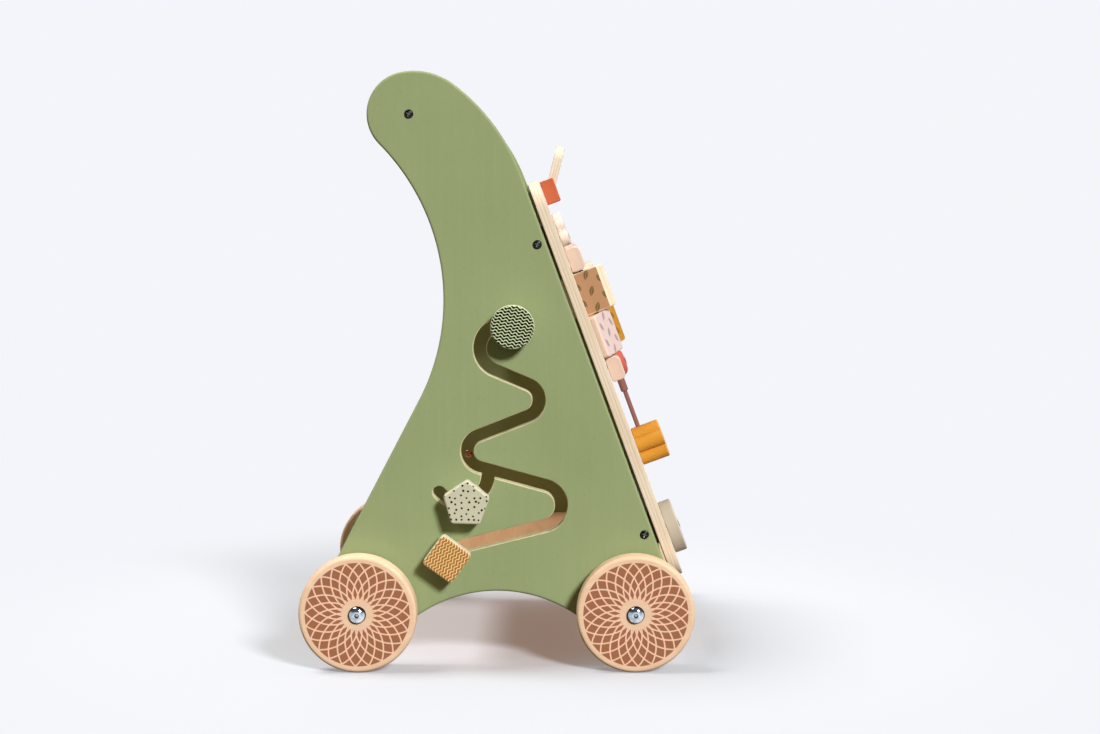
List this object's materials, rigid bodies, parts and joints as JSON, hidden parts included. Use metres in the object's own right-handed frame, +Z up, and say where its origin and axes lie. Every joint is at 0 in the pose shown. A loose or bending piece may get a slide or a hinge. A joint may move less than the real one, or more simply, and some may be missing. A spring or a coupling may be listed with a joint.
{
  "type": "baby push walker",
  "caption": "Wooden baby push walker with shaped side panels, a track with sliding knobs, a sloping activity board with flip tiles, spinners and a pendulum, and plain disc wheels.",
  "frame": {"origin": "on the floor, midway between the four wheels", "axes": "+X is the walking direction, +Y is the walker's left and +Z is up"},
  "size_m": [0.335, 0.3308, 0.506],
  "materials": {
    "birch_plywood": "clear lacquered birch plywood",
    "beige_paint": "satin beige paint over wood",
    "chrome": "polished",
    "bare_wood": "plain wood",
    "black_steel": "black oxide",
    "pale_wood": "clear lacquered pale wood",
    "red_paint": "satin red paint over wood",
    "nylon": "plain nylon",
    "brown_paint": "satin brown paint over wood",
    "pink_paint": "satin pale pink paint over wood",
    "sage_paint": "satin sage paint over wood",
    "lavender_paint": "satin lavender paint over wood",
    "ochre_paint": "satin ochre paint over wood",
    "pale_green_paint": "satin pale green paint over wood",
    "mauve_paint": "satin mauve paint over wood",
    "cream_paint": "satin cream paint over wood"
  },
  "bodies": {
    "frame": {"activity_board": "birch_plywood", "bottom_disc_pin": "chrome", "bottom_shelf": "bare_wood", "flap_axle": "black_steel", "handle_bar": "pale_wood", "left_flap_bracket": "red_paint", "left_front_axle_bolt": "chrome", "left_front_washer": "nylon", "left_handle_screw": "black_steel", "left_lower_batten_screw": "black_steel", "left_lower_tile_bracket": "pink_paint", "left_rear_axle_bolt": "chrome", "left_rear_washer": "nylon", "left_side_panel": "sage_paint", "left_tile_axle": "black_steel", "left_upper_batten_screw": "black_steel", "left_upper_tile_bracket": "pink_paint", "lobed_disc_pin": "chrome", "lower_batten": "bare_wood", "middle_lower_tile_bracket": "pink_paint", "middle_tile_axle": "black_steel", "middle_upper_tile_bracket": "pink_paint", "pendulum_pivot_screw": "chrome", "right_flap_bracket": "red_paint", "right_front_axle_bolt": "chrome", "right_front_washer": "nylon", "right_handle_screw": "black_steel", "right_lower_batten_screw": "black_steel", "right_lower_tile_bracket": "pink_paint", "right_rear_axle_bolt": "chrome", "right_rear_washer": "nylon", "right_side_panel": "sage_paint", "right_tile_axle": "black_steel", "right_upper_batten_screw": "black_steel", "right_upper_tile_bracket": "pink_paint", "upper_batten": "bare_wood"},
    "right_rear_wheel": {"right_rear_wheel": "pale_wood"},
    "right_front_wheel": {"right_front_wheel": "pale_wood"},
    "left_rear_wheel": {"left_rear_wheel": "pale_wood"},
    "left_front_wheel": {"left_front_wheel": "pale_wood"},
    "round_knob": {"round_knob": "pale_green_paint", "round_knob_retainer": "bare_wood"},
    "pentagon_knob": {"pentagon_knob": "cream_paint", "pentagon_knob_retainer": "bare_wood"},
    "square_knob": {"square_knob": "ochre_paint", "square_knob_retainer": "bare_wood"},
    "peekaboo_flap": {"peekaboo_flap": "birch_plywood"},
    "lobed_disc": {"lobed_disc": "pale_wood"},
    "bottom_disc": {"bottom_disc": "beige_paint"},
    "right_upper_tile": {"right_upper_tile": "brown_paint"},
    "right_lower_tile": {"right_lower_tile": "lavender_paint"},
    "middle_upper_tile": {"middle_upper_tile": "pale_green_paint"},
    "middle_lower_tile": {"middle_lower_tile": "ochre_paint"},
    "left_upper_tile": {"left_upper_tile": "lavender_paint"},
    "left_lower_tile": {"left_lower_tile": "brown_paint"},
    "pendulum": {"pendulum_hub": "red_paint", "pendulum_rod": "mauve_paint", "pendulum_bob": "ochre_paint"}
  },
  "joints": [
    {"name": "right_rear_wheel_turn", "type": "hinge", "parent": "frame", "child": "right_rear_wheel", "pos_m": [-0.1175, -0.1516, 0.05], "axis": [0, 1, 0], "continuous": true},
    {"name": "right_front_wheel_turn", "type": "hinge", "parent": "frame", "child": "right_front_wheel", "pos_m": [0.1175, -0.1516, 0.05], "axis": [0, 1, 0], "continuous": true},
    {"name": "left_rear_wheel_turn", "type": "hinge", "parent": "frame", "child": "left_rear_wheel", "pos_m": [-0.1175, 0.1516, 0.05], "axis": [0, 1, 0], "continuous": true},
    {"name": "left_front_wheel_turn", "type": "hinge", "parent": "frame", "child": "left_front_wheel", "pos_m": [0.1175, 0.1516, 0.05], "axis": [0, 1, 0], "continuous": true},
    {"name": "round_knob_turn", "type": "hinge", "parent": "frame", "child": "round_knob", "pos_m": [0.0059, -0.139, 0.2738], "axis": [0, -1, 0], "range_deg": [0, 172]},
    {"name": "pentagon_knob_turn", "type": "hinge", "parent": "frame", "child": "pentagon_knob", "pos_m": [-0.0311, -0.139, 0.1658], "axis": [0, -1, 0], "range_deg": [-62, 66]},
    {"name": "square_knob_turn", "type": "hinge", "parent": "frame", "child": "square_knob", "pos_m": [-0.0142, -0.139, 0.0667], "axis": [0, -1, 0], "range_deg": [-10, 13]},
    {"name": "peekaboo_flap_turn", "type": "hinge", "parent": "frame", "child": "peekaboo_flap", "pos_m": [0.045, 0.044, 0.40713], "axis": [0, 1, 0], "range_deg": [-34, 140]},
    {"name": "lobed_disc_turn", "type": "hinge", "parent": "frame", "child": "lobed_disc", "pos_m": [0.05392, -0.044, 0.36426], "axis": [0.9379, 0, 0.3469], "continuous": true},
    {"name": "bottom_disc_turn", "type": "hinge", "parent": "frame", "child": "bottom_disc", "pos_m": [0.14794, -0.08, 0.11009], "axis": [0.9379, 0, 0.3469], "continuous": true},
    {"name": "right_upper_tile_turn", "type": "hinge", "parent": "frame", "child": "right_upper_tile", "pos_m": [0.07864, -0.088, 0.31935], "axis": [0.3469, 0, -0.9379], "continuous": true},
    {"name": "right_lower_tile_turn", "type": "hinge", "parent": "frame", "child": "right_lower_tile", "pos_m": [0.09224, -0.088, 0.28258], "axis": [0.3469, 0, -0.9379], "continuous": true},
    {"name": "middle_upper_tile_turn", "type": "hinge", "parent": "frame", "child": "middle_upper_tile", "pos_m": [0.07864, 0, 0.31935], "axis": [0.3469, 0, -0.9379], "continuous": true},
    {"name": "middle_lower_tile_turn", "type": "hinge", "parent": "frame", "child": "middle_lower_tile", "pos_m": [0.09224, 0, 0.28258], "axis": [0.3469, 0, -0.9379], "continuous": true},
    {"name": "left_upper_tile_turn", "type": "hinge", "parent": "frame", "child": "left_upper_tile", "pos_m": [0.07864, 0.088, 0.31935], "axis": [0.3469, 0, -0.9379], "continuous": true},
    {"name": "left_lower_tile_turn", "type": "hinge", "parent": "frame", "child": "left_lower_tile", "pos_m": [0.09224, 0.088, 0.28258], "axis": [0.3469, 0, -0.9379], "continuous": true},
    {"name": "pendulum_turn", "type": "hinge", "parent": "frame", "child": "pendulum", "pos_m": [0.09625, -0.044, 0.24984], "axis": [0.9379, 0, 0.3469], "range_deg": [-35, 35]}
  ]
}
